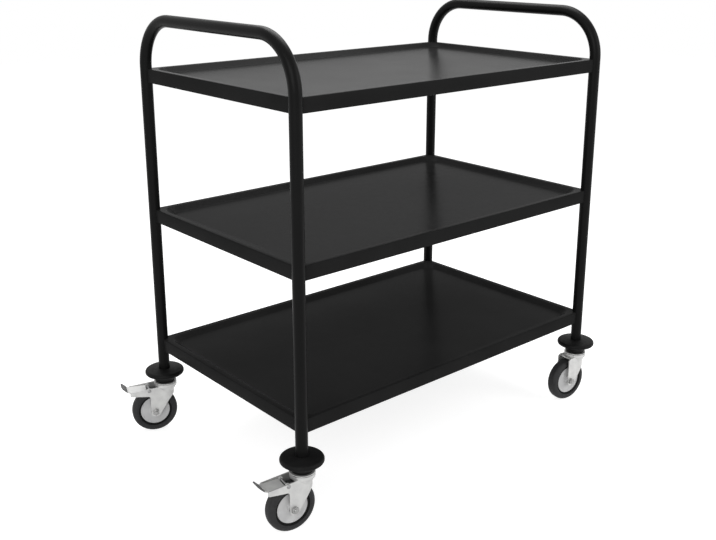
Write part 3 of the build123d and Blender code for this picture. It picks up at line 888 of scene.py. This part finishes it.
for side in (-1, 1):
    ear_y = side * (PEDAL_HALF_W - PEDAL_T / 2)
    ear_z = (PIVOT_Z - EAR_R + PLATE_Z) / 2
    deselect()
    bpy.ops.mesh.primitive_cylinder_add(
        vertices=SMALL_SIDES,
        radius=EAR_R,
        depth=PEDAL_T,
        location=(PIVOT_BACK, ear_y, PIVOT_Z),
        rotation=ACROSS,
    )
    eye = bpy.context.object
    deselect()
    bpy.ops.mesh.primitive_cube_add(size=1, location=(PIVOT_BACK + EAR_LENGTH / 2, ear_y, ear_z))
    bpy.ops.transform.resize(value=(EAR_LENGTH, PEDAL_T, PLATE_Z - PIVOT_Z + EAR_R))
    cut(eye, bpy.context.object, "UNION")
    cut(plate, eye, "UNION")
deselect()
bpy.ops.mesh.primitive_cylinder_add(
    vertices=SMALL_SIDES,
    radius=PIN_R + BORE_CLEARANCE,
    depth=PIN_CUT_LENGTH,
    location=(PIVOT_BACK, 0, PIVOT_Z),
    rotation=ACROSS,
)
cut(plate, bpy.context.object)
apply_modifier(
    plate, "BEVEL", width=EDGE_R, segments=EDGE_STEPS, limit_method="ANGLE", angle_limit=math.radians(40)
)
smooth(plate)
# Painted shade: the turned-up tip beyond the knee gets a dark grey finish that stands in for the shade on its
# zinc.
painted_shade_tip = new_finish("painted_shade_tip", (0.085, 0.085, 0.085), roughness=0.55, specular=0.2)
tint(painted_shade_tip, add_grain(painted_shade_tip, scale=200), dark=(0.07, 0.07, 0.071), light=(0.1, 0.1, 0.1))
emboss(painted_shade_tip, add_grain(painted_shade_tip, scale=1500), depth=0.02 * MM)
# Pedal zinc: a lighter, less metallic copy of the fork's zinc, so that the foot plate shows painted light
# instead of the dark bumper it would reflect.
pedal_zinc_painted_light = zinc_plate(
    "pedal_zinc_painted_light",
    dark=(0.55, 0.55, 0.545),
    light=(0.63, 0.63, 0.62),
    rough_low=0.45,
    rough_high=0.55,
    metallic=0.3,
)
paint(plate, pedal_zinc_painted_light)
# The faces beyond the knee take the painted shade.
plate.data.materials.append(painted_shade_tip)
bpy.ops.object.mode_set(mode="EDIT")
pick(lambda place: place.x > PAINTED_SHADE_START)
plate.active_material_index = 1
bpy.ops.object.material_slot_assign()
bpy.ops.object.mode_set(mode="OBJECT")
for leg in BRAKED_LEGS:
    pedal = place_copy(plate, f"{leg}_foot_pedal", leg_axis(leg), caster_turn(leg))
    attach(pedal, f"{leg}_brake")
    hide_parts(f"{leg}_brake_pedal")
bpy.data.objects.remove(plate)


# Brake shoes: black rubber blocks under the pedals, hollowed to the tyre's round. They keep the CAD
# shape, because the fork's arms hide all but their lower edges.
shoe_rubber = new_finish("shoe_rubber", (0.012, 0.012, 0.012), roughness=0.7, specular=0.2)
tint(shoe_rubber, add_grain(shoe_rubber, scale=120), dark=(0.009, 0.009, 0.009), light=(0.015, 0.015, 0.015))
emboss(shoe_rubber, add_grain(shoe_rubber, scale=1600), depth=0.03 * MM)
for leg in BRAKED_LEGS:
    paint(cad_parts[f"{leg}_brake_shoe"], shoe_rubber)


# Studio: a pale floor that washes out to white but keeps a soft shadow, a white surround, one soft
# lamp above, set back a little, and two in front for the sides.
FLOOR_SIZE = 14.0
FLOOR_TONE = 0.9
FLOOR_GLOW = 0.8
FLOOR_SHARE = 0.5
ROOM_LIGHT = 0.45
WHITE = (1, 1, 1, 1)
LAMP_AIM = (0, 0, 0.4)
LAMP_SIZE = 1.8


def seen_rays(tree):
    """Socket that is 1 for rays that see the background: straight, mirrored or through glass."""
    path = tree.nodes.new("ShaderNodeLightPath")
    seen = path.outputs["Is Camera Ray"]
    for ray in ("Is Glossy Ray", "Is Transmission Ray"):
        either = tree.nodes.new("ShaderNodeMath")
        either.operation = "MAXIMUM"
        tree.links.new(seen, either.inputs[0])
        tree.links.new(path.outputs[ray], either.inputs[1])
        seen = either.outputs[0]
    return seen


def choose(tree, unseen, seen, output):
    """Show one shader to the rays that see the background and another to the rest."""
    mix = tree.nodes.new("ShaderNodeMixShader")
    tree.links.new(seen_rays(tree), mix.inputs["Fac"])
    tree.links.new(unseen, mix.inputs[1])
    tree.links.new(seen, mix.inputs[2])
    tree.links.new(mix.outputs["Shader"], output)


deselect()
bpy.ops.mesh.primitive_plane_add(size=FLOOR_SIZE)
floor = bpy.context.object
floor.name = "studio_floor"
pale_floor = bpy.data.materials.new("pale_floor")
pale_floor.use_nodes = True
tree = pale_floor.node_tree
tree.nodes.remove(tree.nodes["Principled BSDF"])
matt = tree.nodes.new("ShaderNodeBsdfDiffuse")
matt.inputs["Color"].default_value = (FLOOR_TONE, FLOOR_TONE, FLOOR_TONE, 1)
faint = tree.nodes.new("ShaderNodeBsdfDiffuse")
faint.inputs["Color"].default_value = (FLOOR_SHARE, FLOOR_SHARE, FLOOR_SHARE, 1)
glow = tree.nodes.new("ShaderNodeEmission")
glow.inputs["Strength"].default_value = FLOOR_GLOW
both = tree.nodes.new("ShaderNodeAddShader")
tree.links.new(faint.outputs["BSDF"], both.inputs[0])
tree.links.new(glow.outputs["Emission"], both.inputs[1])
surface = tree.nodes["Material Output"].inputs["Surface"]
choose(tree, matt.outputs["BSDF"], both.outputs["Shader"], surface)
paint(floor, pale_floor)

world = bpy.data.worlds.new("studio_room")
bpy.context.scene.world = world
world.use_nodes = True
tree = world.node_tree
room = tree.nodes["Background"]
room.inputs["Color"].default_value = WHITE
room.inputs["Strength"].default_value = ROOM_LIGHT
white = tree.nodes.new("ShaderNodeBackground")
white.inputs["Color"].default_value = WHITE
white.inputs["Strength"].default_value = 1.0
surface = tree.nodes["World Output"].inputs["Surface"]
choose(tree, room.outputs["Background"], white.outputs["Background"], surface)

lamps = [
    ("overhead", (0.5, 0.7, 2.6), 62),
    ("front_left", (-2.3, -1.5, 1.7), 34),
    ("front_right", (1.4, -2.4, 1.5), 26),
]
for name, place, watts in lamps:
    bpy.ops.object.light_add(type="AREA", location=place)
    lamp = bpy.context.object
    lamp.name = f"lamp_{name}"
    lamp.data.size = LAMP_SIZE
    lamp.data.energy = watts
    lamp.rotation_euler = (Vector(LAMP_AIM) - Vector(place)).to_track_quat("-Z", "Y").to_euler()


# Camera: stands close to where the photograph was taken and looks down by 16 degrees. Its frame is
# shifted down a little, so that the upright tubes converge less than they would without.
PHOTO_WIDTH = 716
SHIFT_PIXELS = 50
SENSOR_WIDTH = 36
LENS = 48.111
CLIP_START = 0.01
CAMERA_PLACE = (-1.37027, -1.51875, 1.06427)
CAMERA_YAW = math.radians(40.814)
CAMERA_PITCH = math.radians(16.2888)
bpy.ops.object.camera_add(location=CAMERA_PLACE)
camera = bpy.context.object
camera.name = "photo_camera"
camera.data.sensor_width = SENSOR_WIDTH
camera.data.lens = LENS
camera.data.shift_y = -SHIFT_PIXELS / PHOTO_WIDTH
camera.data.clip_start = CLIP_START
looking = Vector(
    (
        math.sin(CAMERA_YAW) * math.cos(CAMERA_PITCH),
        math.cos(CAMERA_YAW) * math.cos(CAMERA_PITCH),
        -math.sin(CAMERA_PITCH),
    )
)
camera.rotation_euler = looking.to_track_quat("-Z", "Y").to_euler()
bpy.context.scene.camera = camera
bpy.context.scene.view_settings.view_transform = "Standard"
